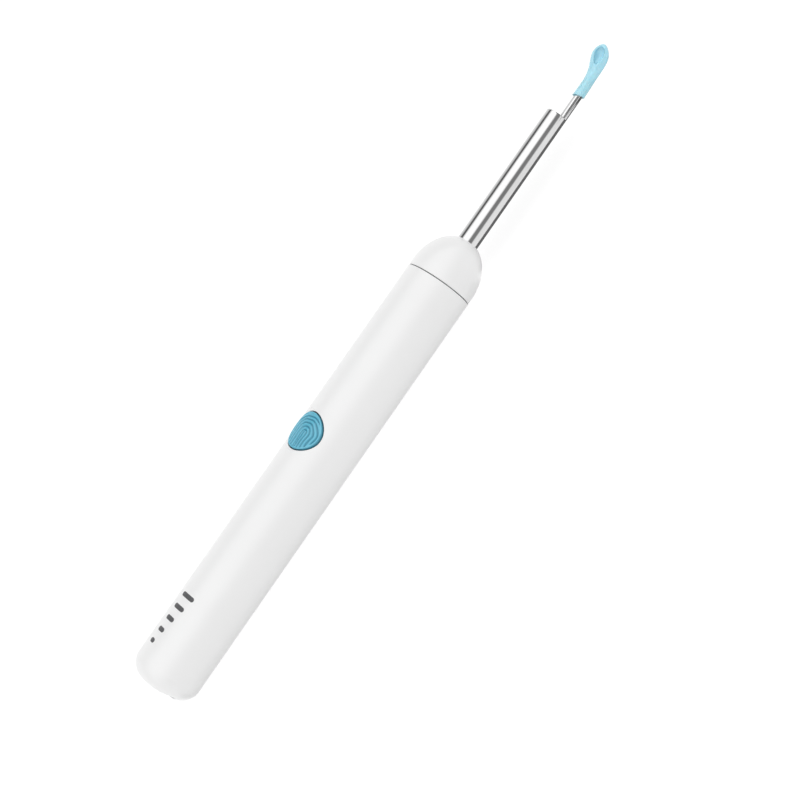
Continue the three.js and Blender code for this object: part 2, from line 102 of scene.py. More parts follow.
# ---------- mesh helpers ----------
class Net:
    """Points and faces of one piece, gathered loop by loop."""

    def __init__(self):
        self.points = []
        self.faces = []

    def loop(self, points):
        """Adds points and gives back their numbers."""
        first = len(self.points)
        self.points.extend(at(*p) for p in points)
        return list(range(first, len(self.points)))

    def band(self, a, b):
        """Quads between two closed loops with the same number of points."""
        for i in range(len(a)):
            k = (i + 1) % len(a)
            self.faces.append((a[i], a[k], b[k], b[i]))

    def strip(self, loops, closed=False):
        """Bands through a row of loops, and from the last back to the first if closed."""
        for a, b in zip(loops, loops[1:]):
            self.band(a, b)
        if closed:
            self.band(loops[-1], loops[0])

    def fan(self, loop, centre):
        """Closes a loop with triangles to one point."""
        middle = self.loop([centre])[0]
        for i in range(len(loop)):
            self.faces.append((loop[i], loop[(i + 1) % len(loop)], middle))

    def box(self, back, front, left, right, bottom, top):
        """A closed box between two places along the pen."""
        sides = [(left, bottom), (right, bottom), (right, top), (left, top)]
        a = self.loop([(back, y, z) for y, z in sides])
        b = self.loop([(front, y, z) for y, z in sides])
        self.band(a, b)
        self.faces.append(tuple(a))
        self.faces.append(tuple(reversed(b)))

    def mesh(self, name, sharp=40):
        """A mesh that is smooth except across edges sharper than `sharp` degrees."""
        made = bpy.data.meshes.new(name)
        made.from_pydata(self.points, [], self.faces)
        work = bmesh.new()
        work.from_mesh(made)
        bmesh.ops.recalc_face_normals(work, faces=work.faces)
        work.to_mesh(made)
        work.free()
        made.shade_smooth()
        made.set_sharp_from_angle(angle=math.radians(sharp))
        return made


def show(name, data):
    """A new object in the scene, with this mesh or camera."""
    made = bpy.data.objects.new(name, data)
    bpy.context.scene.collection.objects.link(made)
    return made


REPLACED = set()  # CAD nodes that a finer piece stands for


def piece(name, mesh, body, material, slot, *replaced):
    """One visible piece, riding on a body and standing for the CAD nodes named last."""
    made = show(name, mesh)
    made.data.materials.append(material)
    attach(made, body)
    if replaced:
        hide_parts(*replaced)
        REPLACED.update(replaced)
    return made


def circle(s, r, sides, y=0, z=0):
    """A ring of points round the pen's axis, or round a line beside it, from straight up."""
    turns = [FULL * i / sides for i in range(sides)]
    return [(s, y + r * math.sin(t), z + r * math.cos(t)) for t in turns]


def revolve(net, profile, sides, y=0, z=0):
    """Turns a profile of (s, r): from axis to axis if it starts at r = 0, closed on itself if not."""
    loops = [net.loop(circle(s, r, sides, y, z)) for s, r in profile if r > 0]
    open_ended = profile[0][1] == 0
    net.strip(loops, closed=not open_ended)
    if open_ended:
        net.fan(loops[0], (profile[0][0], y, z))
        net.fan(loops[-1], (profile[-1][0], y, z))


def pin_mesh(name, back, front, r, sides, y, z):
    """A plain closed cylinder along a line beside the pen's axis."""
    net = Net()
    revolve(net, [(back, 0), (back, r), (front, r), (front, 0)], sides, y, z)
    return net.mesh(name)


def softened(corners, steps=5):
    """A profile from corners (s, r) or (s, r, rounding), with each rounding turned into an arc."""
    profile = []
    for i, corner in enumerate(corners):
        here = Vector(corner[:2])
        if len(corner) == 2:
            profile.append((here.x, here.y))
            continue
        before = (Vector(corners[i - 1][:2]) - here).normalized()
        after = (Vector(corners[(i + 1) % len(corners)][:2]) - here).normalized()
        half = before.angle(after) / 2
        rounding = corner[2]
        middle = here + (before + after).normalized() * (rounding / math.sin(half))
        start = here + before * (rounding / math.tan(half)) - middle
        end = here + after * (rounding / math.tan(half)) - middle
        for k in range(steps + 1):
            p = middle + start.slerp(end, k / steps) * rounding
            profile.append((p.x, p.y))
    return profile


def mark_points(mesh, name, values):
    """Keeps a number for each of the mesh's first points, and zero for the rest."""
    layer = mesh.attributes.new(name, "FLOAT", "POINT")
    layer.data.foreach_set("value", values + [0.0] * (len(mesh.vertices) - len(values)))


WELD = 0.001 * MM  # points nearer than this become one


def cut_or_join(mesh, cutters, operation):
    """The mesh after an exact boolean with each of the other meshes, with its slivers welded."""
    target = show("target", mesh)
    for cutter in cutters:
        other = show("cutter", cutter)
        step = target.modifiers.new("step", "BOOLEAN")
        step.operation = operation
        step.solver = "EXACT"
        step.object = other
        shaped = bpy.data.meshes.new_from_object(
            target.evaluated_get(bpy.context.evaluated_depsgraph_get())
        )
        target.modifiers.remove(step)
        target.data = shaped
        bpy.data.objects.remove(other)
    made = target.data
    bpy.data.objects.remove(target)
    work = bmesh.new()
    work.from_mesh(made)
    bmesh.ops.remove_doubles(work, verts=work.verts, dist=WELD)
    bmesh.ops.dissolve_degenerate(work, edges=work.edges, dist=WELD)
    work.to_mesh(made)
    work.free()
    return made


def stadium(s, half, rise, count):
    """A ring of points round a slot with round ends, evenly spaced from the top centre."""
    flat = half - rise
    whole = 4 * flat + FULL * rise
    points = []
    for i in range(count):
        d = whole * i / count
        if d < flat:
            y, z = d, rise
        elif d < flat + math.pi * rise:
            turn = (d - flat) / rise
            y, z = flat + rise * math.sin(turn), rise * math.cos(turn)
        elif d < 3 * flat + math.pi * rise:
            y, z = 2 * flat + math.pi * rise - d, -rise
        elif d < 3 * flat + FULL * rise:
            turn = (d - 3 * flat - math.pi * rise) / rise
            y, z = -flat - rise * math.sin(turn), -rise * math.cos(turn)
        else:
            y, z = d - whole, rise
        points.append((s, y, z))
    return points


# ---------- material helpers ----------
class Finish:
    """A procedural material whose patterns are laid out in the part's own millimetres."""

    def __init__(self, name, colour, roughness, metallic=0.0):
        self.material = bpy.data.materials.new(name)
        self.material.use_nodes = True
        self.nodes = self.material.node_tree.nodes
        self.links = self.material.node_tree.links
        self.shader = self.nodes["Principled BSDF"]
        self.colour = colour
        self.set("Base Color", (*colour, 1))
        self.set("Roughness", roughness)
        self.set("Metallic", metallic)
        self.place = self.nodes.new("ShaderNodeTexCoord").outputs["Object"]
        self.bumps = None

    def set(self, socket, value):
        """A value that is the same all over the surface."""
        self.shader.inputs[socket].default_value = value

    def noise(self, size, detail=3.0, stretch=(1, 1, 1)):
        """Cloudy noise with features about `size` millimetres across, drawn out by `stretch`."""
        scaled = self.nodes.new("ShaderNodeMapping")
        scaled.inputs["Scale"].default_value = [1 / (size * MM * k) for k in stretch]
        self.links.new(self.place, scaled.inputs["Vector"])
        noise = self.nodes.new("ShaderNodeTexNoise")
        noise.inputs["Scale"].default_value = 1
        noise.inputs["Detail"].default_value = detail
        self.links.new(scaled.outputs["Vector"], noise.inputs["Vector"])
        return noise.outputs["Fac"]

    def spread(self, value, low, high, span=(0.3, 0.7)):
        """Maps a pattern from the span of its usual values to low ... high."""
        mapped = self.nodes.new("ShaderNodeMapRange")
        mapped.inputs["From Min"].default_value = span[0]
        mapped.inputs["From Max"].default_value = span[1]
        mapped.inputs["To Min"].default_value = low
        mapped.inputs["To Max"].default_value = high
        self.links.new(value, mapped.inputs["Value"])
        return mapped.outputs["Result"]

    def tint(self, value, other, span=(0.3, 0.7)):
        """Colour goes from what it is so far to `other` with the pattern."""
        mix = self.nodes.new("ShaderNodeMix")
        mix.data_type = "RGBA"
        mix.inputs["A"].default_value = (*self.colour, 1)
        mix.inputs["B"].default_value = (*other, 1)
        socket = self.shader.inputs["Base Color"]
        if socket.is_linked:
            self.links.new(socket.links[0].from_socket, mix.inputs["A"])
        self.links.new(self.spread(value, 0, 1, span), mix.inputs["Factor"])
        self.links.new(mix.outputs["Result"], socket)

    def vary_roughness(self, value, low, high, span=(0.3, 0.7)):
        """Roughness goes from low to high with the pattern."""
        self.links.new(self.spread(value, low, high, span), self.shader.inputs["Roughness"])

    def bump(self, value, height, strength=1.0):
        """Relief of about `height` millimetres, on top of any relief given before."""
        bump = self.nodes.new("ShaderNodeBump")
        bump.inputs["Strength"].default_value = strength
        bump.inputs["Distance"].default_value = height * MM
        self.links.new(value, bump.inputs["Height"])
        if self.bumps is not None:
            self.links.new(self.bumps, bump.inputs["Normal"])
        self.bumps = bump.outputs["Normal"]
        self.links.new(self.bumps, self.shader.inputs["Normal"])

    def attribute(self, name):
        """A pattern that the mesh carries in its points."""
        node = self.nodes.new("ShaderNodeAttribute")
        node.attribute_name = name
        return node.outputs["Fac"]


# ---------- materials ----------
def shell_white():
    """Satin white plastic, very slightly clouded."""
    made = Finish("shell_white", (0.895, 0.895, 0.895), 0.3)
    made.tint(made.noise(14, 2), (0.88, 0.88, 0.88))
    made.vary_roughness(made.noise(3, 2), 0.29, 0.34)
    made.bump(made.noise(0.3, 2), 0.002, 0.15)
    made.set("Coat Weight", 0.12)
    made.set("Coat Roughness", 0.2)
    return made.material


def seam_grey():
    """Matte rubber of the seal."""
    made = Finish("seam_grey", (0.2, 0.202, 0.208), 0.6)
    made.tint(made.noise(0.5), (0.16, 0.162, 0.168))
    made.bump(made.noise(0.08), 0.004, 0.4)
    return made.material


def drawn_steel(name, colour, roughness):
    """Polished steel with fine lines along the tube from drawing."""
    made = Finish(name, colour, roughness, 1.0)
    lines = made.noise(0.05, 4, (80, 1, 1))
    made.tint(made.noise(2.5, 3, (4, 1, 1)), tuple(0.9 * c for c in colour))
    made.vary_roughness(lines, 0.7 * roughness, 1.35 * roughness)
    made.bump(lines, 0.0006, 0.25)
    made.set("Anisotropic", 0.35)
    return made.material


def stamped_metal(name, colour, roughness):
    """Plated or stamped sheet metal with faint clouding."""
    made = Finish(name, colour, roughness, 1.0)
    made.tint(made.noise(0.8, 4), tuple(0.8 * c for c in colour))
    made.vary_roughness(made.noise(0.25, 4), 0.75 * roughness, 1.3 * roughness)
    made.bump(made.noise(0.12, 3), 0.002, 0.3)
    return made.material


def moulded(name, colour, roughness, grain=0.15):
    """Matte moulded plastic or epoxy with a fine grain."""
    made = Finish(name, colour, roughness)
    made.tint(made.noise(2.2, 3), tuple(0.82 * c for c in colour))
    made.vary_roughness(made.noise(0.6, 4), 0.85 * roughness, 1.15 * roughness)
    made.bump(made.noise(grain, 3), 0.006, 0.35)
    return made.material


def button_blue():
    """Satin plastic, with painted shade down in the grooves of the fingerprint, along its rim and in the
    gap round it.
    """
    made = Finish("button_blue", (0.135, 0.52, 0.68), 0.3)
    made.tint(made.noise(1.8, 3), (0.12, 0.48, 0.64))
    # Painted shade from the mesh: darker down in the grooves and along the rim, darkest on the face's
    # rounded edge and in the gap round the button.
    groove_depth_and_shade = made.attribute("groove_depth_and_shade")
    made.tint(groove_depth_and_shade, (0.05, 0.27, 0.39), (0.1, 0.9))
    made.tint(groove_depth_and_shade, (0.025, 0.12, 0.15), (1.0, 1.4))
    made.vary_roughness(made.noise(0.4, 2), 0.29, 0.36)
    made.set("Coat Weight", 0.4)
    made.set("Coat Roughness", 0.15)
    made.bump(made.noise(0.09, 3), 0.002, 0.25)
    return made.material


def silicone_blue():
    """Soft, slightly clear silicone with a wet gloss, and painted shade inside the spoon's bowl."""
    made = Finish("silicone_blue", (0.45, 0.79, 0.91), 0.24)
    made.tint(made.noise(1.5, 3), (0.41, 0.75, 0.88))
    # Painted shade in the bowl: darkest where the inside first dips below the outside, easing off towards
    # its deepest part.
    hollow = made.attribute("hollow")
    made.tint(hollow, (0.33, 0.64, 0.76), (0.02, 0.25))
    made.tint(hollow, (0.43, 0.76, 0.88), (0.25, 0.75))
    made.vary_roughness(made.noise(0.5, 3), 0.19, 0.26)
    made.bump(made.noise(0.3, 2), 0.003, 0.25)
    made.set("Subsurface Weight", 0.3)
    made.set("Subsurface Radius", (0.5, 0.9, 1.0))
    made.set("Subsurface Scale", 0.5 * MM)
    made.set("Coat Weight", 0.3)
    made.set("Coat Roughness", 0.08)
    return made.material


def glass(name, colour, roughness=0.03):
    """Polished or coated glass."""
    made = Finish(name, colour, roughness)
    made.vary_roughness(made.noise(0.3, 2), roughness, roughness + 0.03)
    made.tint(made.noise(0.6, 2), tuple(0.93 * c for c in colour))
    made.bump(made.noise(0.2, 1), 0.0002, 0.1)
    made.set("Transmission Weight", 0.9)
    made.set("IOR", 1.5)
    made.set("Coat Weight", 0.3)
    return made.material


def board_green():
    """Solder mask with the faint relief of tracks underneath."""
    made = Finish("board_green", (0.015, 0.13, 0.055), 0.35)
    made.tint(made.noise(0.5, 1, (6, 1, 1)), (0.02, 0.2, 0.085), (0.5, 0.56))
    made.vary_roughness(made.noise(0.7, 4), 0.28, 0.45)
    made.bump(made.noise(0.45, 1, (6, 1, 1)), 0.01, 0.4)
    return made.material


def flex_amber():
    """Polyimide film with the copper tracks showing through."""
    made = Finish("flex_amber", (0.45, 0.18, 0.03), 0.3)
    made.tint(made.noise(0.3, 1, (12, 1, 1)), (0.62, 0.3, 0.07), (0.48, 0.54))
    made.bump(made.noise(0.3, 1, (12, 1, 1)), 0.01, 0.4)
    return made.material


def led_yellow():
    """Phosphor resin, grainy under a clear skin."""
    made = Finish("led_yellow", (0.85, 0.74, 0.25), 0.25)
    made.tint(made.noise(0.05, 3), (0.93, 0.85, 0.42))
    made.bump(made.noise(0.06, 3), 0.002, 0.3)
    made.set("Coat Weight", 0.5)
    return made.material


def cell_foil():
    """Crinkled laminated foil round the lithium cell."""
    made = Finish("cell_foil", (0.62, 0.64, 0.67), 0.36, 0.85)
    made.tint(made.noise(5, 3), (0.54, 0.56, 0.6))
    made.vary_roughness(made.noise(0.8, 4), 0.28, 0.46)
    made.bump(made.noise(1.8, 4), 0.06, 0.35)
    return made.material


def foam_black():
    """Closed-cell foam with open pores at its cut faces."""
    made = Finish("foam_black", (0.035, 0.036, 0.038), 0.95)
    pores = made.noise(0.22, 2)
    made.tint(pores, (0.012, 0.012, 0.013), (0.45, 0.6))
    made.bump(pores, 0.05, 0.7)
    return made.material


def ink_grey():
    """Pad-printed ink, thin and slightly uneven."""
    made = Finish("ink_grey", (0.085, 0.085, 0.09), 0.45)
    made.tint(made.noise(0.35, 3), (0.105, 0.105, 0.11))
    made.vary_roughness(made.noise(0.2, 3), 0.38, 0.55)
    made.bump(made.noise(0.12, 2), 0.003, 0.3)
    return made.material


# ---------- grip ----------
PATCH = {"back": 44.2, "front": 56.2, "rows": 16, "columns": 19}  # round the button's hole
REAR_RINGS = 20  # from the charging end to the patch
FORE_RINGS = 14  # from the patch to the joint
HOLE_LOOPS = 9  # from the edge of the patch in to the hole
BASE_LOOPS = 18  # from the port's opening out to the grip
HOLE_FOOT = 0.04  # from the bore to the lowest ring of the hole's wall
MOUTH_FOOT = 0.08  # from the bore to the innermost ring of the grip's front
ROUNDING = [math.pi / 2 * k / 5 for k in range(1, 6)]  # angles along a rounded rim


def grip_stations(back, front):
    """Places of the rings along the grip, closer together beside the button."""
    rows = PATCH["rows"]
    step = (PATCH["front"] - PATCH["back"]) / rows
    rear = [back + (PATCH["back"] - back) * i / REAR_RINGS for i in range(REAR_RINGS)]
    beside = [PATCH["back"] + step * i for i in range(rows + 1)]
    ahead = front - PATCH["front"]
    fore = [PATCH["front"] + ahead * (i + 1) / FORE_RINGS for i in range(FORE_RINGS)]
    return rear + beside + fore


def plan_circle(turns, plan_r, grip_r, drop=0.0):
    """Points on a round hole seen from above, at the height of the grip, less `drop`."""
    points = []
    for turn in turns:
        y = plan_r * math.sin(turn)
        z = math.sqrt(grip_r**2 - y**2) - drop
        points.append((BUTTON_S + plan_r * math.cos(turn), y, z))
    return points


def grip_wall(net, radius, back, front, hole_r):
    """A cylinder with a round hole for the button, as one clean grid of quads.
    Returns its first ring, its last ring, the loop round the hole and that loop's angles."""
    stations = grip_stations(back, front)
    rings = [net.loop(circle(s, radius, ROUND)) for s in stations]
    first = stations.index(PATCH["back"])
    last = first + PATCH["rows"]
    half = PATCH["columns"]
    for i, (a, b) in enumerate(zip(rings, rings[1:])):
        for j in range(ROUND):
            k = (j + 1) % ROUND
            near_hole = j < half or j >= ROUND - half
            if not (first <= i < last and near_hole):
                net.faces.append((a[j], a[k], b[k], b[j]))
    edge = [(first, j) for j in range(-half, half)]
    edge += [(i, half) for i in range(first, last)]
    edge += [(last, j) for j in range(half, -half, -1)]
    edge += [(i, -half) for i in range(last, first, -1)]
    outer = [rings[i][j % ROUND] for i, j in edge]
    places = [(stations[i], FULL * j / ROUND * radius) for i, j in edge]
    turns = [math.atan2(w, s - BUTTON_S) for s, w in places]
    loops = [outer]
    for k in range(1, HOLE_LOOPS + 1):
        share = k / HOLE_LOOPS
        points = []
        for (s, w), turn in zip(places, turns):
            end_s = BUTTON_S + hole_r * math.cos(turn)
            end_w = radius * math.asin(hole_r * math.sin(turn) / radius)
            bent = (w + (end_w - w) * share) / radius
            points.append((s + (end_s - s) * share, radius * math.sin(bent), radius * math.cos(bent)))
        loops.append(net.loop(points))
    net.strip(loops)
    return rings[0], rings[-1], loops[-1], turns


def base_depth(y, z, flat_s, rise, reach):
    """How far along the pen the rounded end lies at a point of its plan."""
    out = max(0.0, math.hypot(y, z) - BASE_FLAT) / reach
    return flat_s + rise * (1 - math.sqrt(max(0.0, 1 - out * out)))


def base_wall(net, ring, slot_loop, slot_points, radius, depth):
    """The rounded end, in quads from the port's opening out to the first ring of the grip."""
    edge = circle(0, radius, ROUND)
    loops = [slot_loop]
    for k in range(1, BASE_LOOPS):
        share = math.sin(math.pi / 2 * k / BASE_LOOPS)
        points = []
        for (_, y0, z0), (_, y1, z1) in zip(slot_points, edge):
            y = y0 + (y1 - y0) * share
            z = z0 + (z1 - z0) * share
            points.append((depth(y, z), y, z))
        loops.append(net.loop(points))
    loops.append(ring)
    net.strip(loops)


def grip_sleeve(material):
    """The moulded grip: outside, inside, and the rounded rims of its openings, all one skin."""
    net = Net()
    outer = grip_wall(net, GRIP_R, BASE_RISE, SEAM - SEAM_EDGE, HOLE_R + HOLE_EDGE)
    inner = grip_wall(net, BORE_R, FLOOR + INNER_RISE, SEAM - SEAM_EDGE, HOLE_R)
    turns = outer[3]
    rims = [outer[2]]
    for a in ROUNDING:
        plan_r = HOLE_R + HOLE_EDGE * (1 - math.sin(a))
        drop = HOLE_EDGE * (1 - math.cos(a))
        rims.append(net.loop(plan_circle(turns, plan_r, GRIP_R, drop)))
    rims.append(net.loop(plan_circle(turns, HOLE_R, BORE_R + HOLE_FOOT)))
    rims.append(inner[2])
    net.strip(rims)

    ends = [outer[1]]
    for a in ROUNDING:
        s = SEAM - SEAM_EDGE * (1 - math.sin(a))
        ends.append(net.loop(circle(s, GRIP_R - SEAM_EDGE * (1 - math.cos(a)), ROUND)))
    ends.append(net.loop(circle(SEAM, BORE_R + MOUTH_FOOT, ROUND)))
    ends.append(inner[1])
    net.strip(ends)

    def outside(y, z):
        return base_depth(y, z, 0, BASE_RISE, GRIP_R - BASE_FLAT)

    def inside(y, z):
        return base_depth(y, z, FLOOR, INNER_RISE, BORE_R - BASE_FLAT)

    half = PORT["half"] + PORT_GAP
    rise = PORT["rise"] + PORT_GAP
    slots = []
    for a in [0.0, *ROUNDING]:
        out = SOFT_EDGE * (1 - math.sin(a))
        drop = SOFT_EDGE * (1 - math.cos(a))
        ring = stadium(0, half + out, rise + out, ROUND)
        slots.append([(outside(y, z) + drop, y, z) for _, y, z in ring])
    slots.append([(inside(y, z), y, z) for _, y, z in stadium(0, half, rise, ROUND)])
    loops = [net.loop(points) for points in slots]
    net.strip(loops)
    base_wall(net, outer[0], loops[0], slots[0], GRIP_R, outside)
    base_wall(net, inner[0], loops[-1], slots[-1], BORE_R, inside)
    return piece(
        "grip_sleeve", net.mesh("grip_sleeve", 60), "handle", material, "shell_white", "body_sleeve"
    )


# ---------- nose ----------
DOME_STEPS = 28
SPIGOT = {"back": 78.5, "r": BORE_R - 0.08, "bore": 4.3}  # the part that fits into the grip
SEAT = {"back": 85.48, "front": 89.48, "r": 2.88}  # for the ferrule that holds the tube
TUBE_HOLE = 1.98  # radius of the hole in the dome
BOSS = {"y": 3.45, "z": -1.5, "r": 1.1, "front": 84.2}
SCREW_HOLE = {"back": 78, "r": 0.48, "front": 83.4}


def domed_nose(material):
    """The domed cap with its spigot, its seat for the ferrule and two screw bosses inside."""
    net = Net()
    mouth_turn = math.acos(NOSE["mouth"] / NOSE["r"])
    dome = []
    for k in range(DOME_STEPS + 1):
        a = mouth_turn * k / DOME_STEPS
        dome.append((NOSE["dome"] + NOSE["rise"] * math.sin(a), NOSE["r"] * math.cos(a)))
    mouth_s = dome[-1][0]
    corners = [
        (SPIGOT["back"], SPIGOT["bore"]),
        (SPIGOT["back"], SPIGOT["r"], 0.1),
        (NOSE["back"], SPIGOT["r"]),
        (NOSE["back"], NOSE["r"], SEAM_EDGE),
        *dome,
        (mouth_s + 0.05, 2.02, 0.03),
        (mouth_s - 0.1, TUBE_HOLE),
        (SEAT["front"], TUBE_HOLE),
        (SEAT["front"], SEAT["r"]),
        (SEAT["back"], SEAT["r"]),
        (SEAT["back"], SPIGOT["bore"]),
    ]
    revolve(net, softened(corners), ROUND)
    bosses = []
    holes = []
    for side in (-1, 1):
        axis = (side * BOSS["y"], BOSS["z"])
        bosses.append(pin_mesh("boss", SPIGOT["back"], BOSS["front"], BOSS["r"], 32, *axis))
        holes.append(pin_mesh("hole", SCREW_HOLE["back"], SCREW_HOLE["front"], SCREW_HOLE["r"], 24, *axis))
    mesh = cut_or_join(net.mesh("domed_nose", 50), bosses, "UNION")
    mesh = cut_or_join(mesh, holes, "DIFFERENCE")
    return piece("domed_nose", mesh, "handle", material, "shell_white", "nose_cap")


SEAL = {"in": 5.2, "out": 6.08, "edge": 0.03, "gap": 0.03}


def seam_seal(material):
    """The dark seal set back in the joint between grip and nose."""
    net = Net()
    back = SEAM + SEAL["gap"]
    front = NOSE["back"] - SEAL["gap"]
    corners = [
        (back, SEAL["in"]),
        (back, SEAL["out"], SEAL["edge"]),
        (front, SEAL["out"], SEAL["edge"]),
        (front, SEAL["in"]),
    ]
    revolve(net, softened(corners, 3), ROUND)
    return piece(
        "seam_seal", net.mesh("seam_seal", 50), "handle", material, "seam_grey", "seam_gasket"
    )


# ---------- lens tube and rod ----------
# A ring close to each edge keeps the shading of the long sides even.
PIN = {"back": 114.4, "front": 120.7, "r": 0.4}  # the rod's thinner part, inside the tube
GROOVE = {"back": 126.6, "floor": (126.7, 127.2), "front": 127.3, "r": 0.6}  # for the silicone to hold


def steel_tube(material):
    """The drawn tube with a rolled, polished rim."""
    net = Net()
    corners = [
        (TUBE["back"], TUBE["bore"]),
        (TUBE["back"], TUBE["r"], 0.04),
        (TUBE["front"] - 0.2, TUBE["r"]),
        (TUBE["front"], TUBE["r"], 0.07),
        (TUBE["front"], TUBE["bore"], 0.05),
    ]
    revolve(net, softened(corners, 4), 96)
    return piece(
        "steel_tube", net.mesh("steel_tube", 50), "handle", material, "tube_steel", "lens_tube"
    )


def steel_rod(material):
    """The rod beside the lens: a pin inside the tube, a shoulder on its rim, a grooved end."""
    net = Net()
    corners = [
        (PIN["back"], 0),
        (PIN["back"], PIN["r"], 0.06),
        (PIN["front"], PIN["r"]),
        (PIN["front"], ROD_R, 0.05),
        (120.9, ROD_R),
        (126.5, ROD_R),
        (GROOVE["back"], ROD_R, 0.02),
        (GROOVE["floor"][0], GROOVE["r"], 0.02),
        (GROOVE["floor"][1], GROOVE["r"], 0.02),
        (GROOVE["front"], ROD_R, 0.02),
        (ROD_FRONT, ROD_R, 0.35),
        (ROD_FRONT, 0),
    ]
    revolve(net, softened(corners, 6), 48, ROD_Y, ROD_Z)
    return piece(
        "steel_rod", net.mesh("steel_rod", 45), "pick", material, "tube_steel", "pick_rod"
    )


# ---------- spoon ----------
# Stations along the spoon: s, lift towards the bowl's side, half width, half thickness.
TIP_BACK = 125.6
SPOON = [
    (TIP_BACK, 0.0, 1.05, 1.05),
    (126.3, 0.0, 1.01, 1.01),
    (128.0, 0.0, 0.98, 0.98),
    (129.1, 0.1, 0.97, 0.97),
    (130.0, 0.32, 1.05, 1.0),
    (130.8, 0.6, 1.19, 1.04),
    (131.65, 1.08, 1.42, 1.08),
    (132.5, 1.6, 1.6, 1.1),
    (133.25, 2.0, 1.62, 1.08),
    (133.85, 2.28, 1.46, 0.98),
    (134.3, 2.52, 1.18, 0.84),
    (134.66, 2.72, 0.85, 0.64),
    (134.92, 2.86, 0.52, 0.42),
    (135.04, 2.93, 0.28, 0.22),
    (TIP_END, 2.96, 0.02, 0.02),
]
TIP_TURN = math.radians(22)  # of the bowl, from straight up towards -y
BOWL = {"s": 132.7, "lift": 3.2, "long": 1.78, "wide": 0.94, "deep": 1.45, "lean": 0.47}
BOWL_TAPER = 0.3  # how much narrower the bowl's neck end is than its middle
BOWL_BLEND = 0.18  # height over which the bowl's rim is rounded
BOWL_LIMIT = 0.2  # deepest the bowl goes below the spine, as a share of the half thickness
NO_FLOOR = 9.0  # higher than any part of the spoon
SOCKET_FRONT = ROD_FRONT + 0.15
SOCKET_R = 0.75
SLEEVE_SLANT = 0.28  # how far the sleeve's end leans for each millimetre across
SLANT_Y, SLANT_Z = 0.66, 0.75  # the side of the sleeve that reaches nearest the charging end
SLANT_REACH = 2  # the lean fades out over this length


def through(points, t):
    """A smooth curve through evenly counted points, at t from 0 to the last one's number."""
    i = min(int(t), len(points) - 2)
    u = t - i
    p0 = points[max(i - 1, 0)]
    p1, p2 = points[i], points[i + 1]
    p3 = points[min(i + 2, len(points) - 1)]
    made = []
    for a, b, c, d in zip(p0, p1, p2, p3):
        made.append(
            b + 0.5 * u * (c - a + u * (2 * a - 5 * b + 4 * c - d + u * (3 * (b - c) + d - a)))
        )
    return made


def soft_least(a, b, blend):
    """The lesser of two heights, with a rounded change from one to the other."""
    h = max(blend - abs(a - b), 0.0) / blend
    return min(a, b) - h * h * blend / 4


def bowl_floor(s, y):
    """Height of the leaning bowl's inside above the rod's axis, or far above where there is none."""
    ahead = s - BOWL["s"]
    c, d = math.cos(BOWL["lean"]), math.sin(BOWL["lean"])
    along, down = 1 / BOWL["long"] ** 2, 1 / BOWL["deep"] ** 2
    across = y / (BOWL["wide"] * (1 + BOWL_TAPER * max(-1.0, min(1.0, ahead / BOWL["long"]))))
    square = d * d * along + c * c * down
    linear = 2 * ahead * c * d * (along - down)
    rest = ahead**2 * (c * c * along + d * d * down) + across**2 - 1
    inside = linear**2 - 4 * square * rest
    if inside <= 0:
        return NO_FLOOR
    return BOWL["lift"] - (linear + math.sqrt(inside)) / (2 * square)


def turned_tip(s, y, z):
    """A point of the spoon, from its own upright frame into the pen's."""
    c, d = math.cos(TIP_TURN), math.sin(TIP_TURN)
    return (s, ROD_Y + y * c - z * d, ROD_Z + y * d + z * c)


def slanted(s, y, z):
    """The same point pulled along the pen where it is near the sleeve's leaning end."""
    fade = max(0.0, 1 - (s - TIP_BACK) / SLANT_REACH)
    placed = turned_tip(s, y, z)
    aside = (placed[1] - ROD_Y) * SLANT_Y + (placed[2] - ROD_Z) * SLANT_Z
    return (s - SLEEVE_SLANT * fade * aside, *placed[1:])


def silicone_spoon(material):
    """The spoon: a loft along a bent spine with a scooped bowl, and a socket for the rod."""
    sides = 120
    steps = 150
    net = Net()
    turns = [FULL * j / sides for j in range(sides)]
    last = len(SPOON) - 1
    loops = []
    bowl_shade_depths = []
    for i in range(steps + 1):
        s, lift, wide, thick = through(SPOON, last * math.sin(math.pi / 2 * i / steps))
        points = []
        for turn in turns:
            y = wide * math.sin(turn)
            z = lift + thick * math.cos(turn)
            scooped = z
            if math.cos(turn) > 0:
                scooped = soft_least(z, bowl_floor(s, y), BOWL_BLEND)
                scooped = max(scooped, lift - BOWL_LIMIT * thick)
            # How far the bowl dips here, kept for the painted shade in the bowl.
            bowl_shade_depths.append(z - scooped)
            points.append(slanted(s, y, scooped))
        loops.append(net.loop(points))
    net.strip(loops)
    net.fan(loops[-1], turned_tip(TIP_END, 0, SPOON[-1][1]))
    socket = [loops[0]]
    lip = [(TIP_BACK, 0.99), (TIP_BACK, 0.84), (TIP_BACK + 0.06, 0.79), (TIP_BACK + 0.5, SOCKET_R)]
    for s, r in [*lip, (SOCKET_FRONT - 0.15, SOCKET_R), (SOCKET_FRONT, 0.55)]:
        socket.append(net.loop([slanted(s, y, z) for _, y, z in circle(s, r, sides)]))
    net.strip(socket)
    net.fan(socket[-1], (SOCKET_FRONT, ROD_Y, ROD_Z))
    mesh = net.mesh("silicone_spoon", 50)
    mark_points(mesh, "hollow", bowl_shade_depths)
    return piece("silicone_spoon", mesh, "tip", material, "silicone_blue", "spoon_tip")


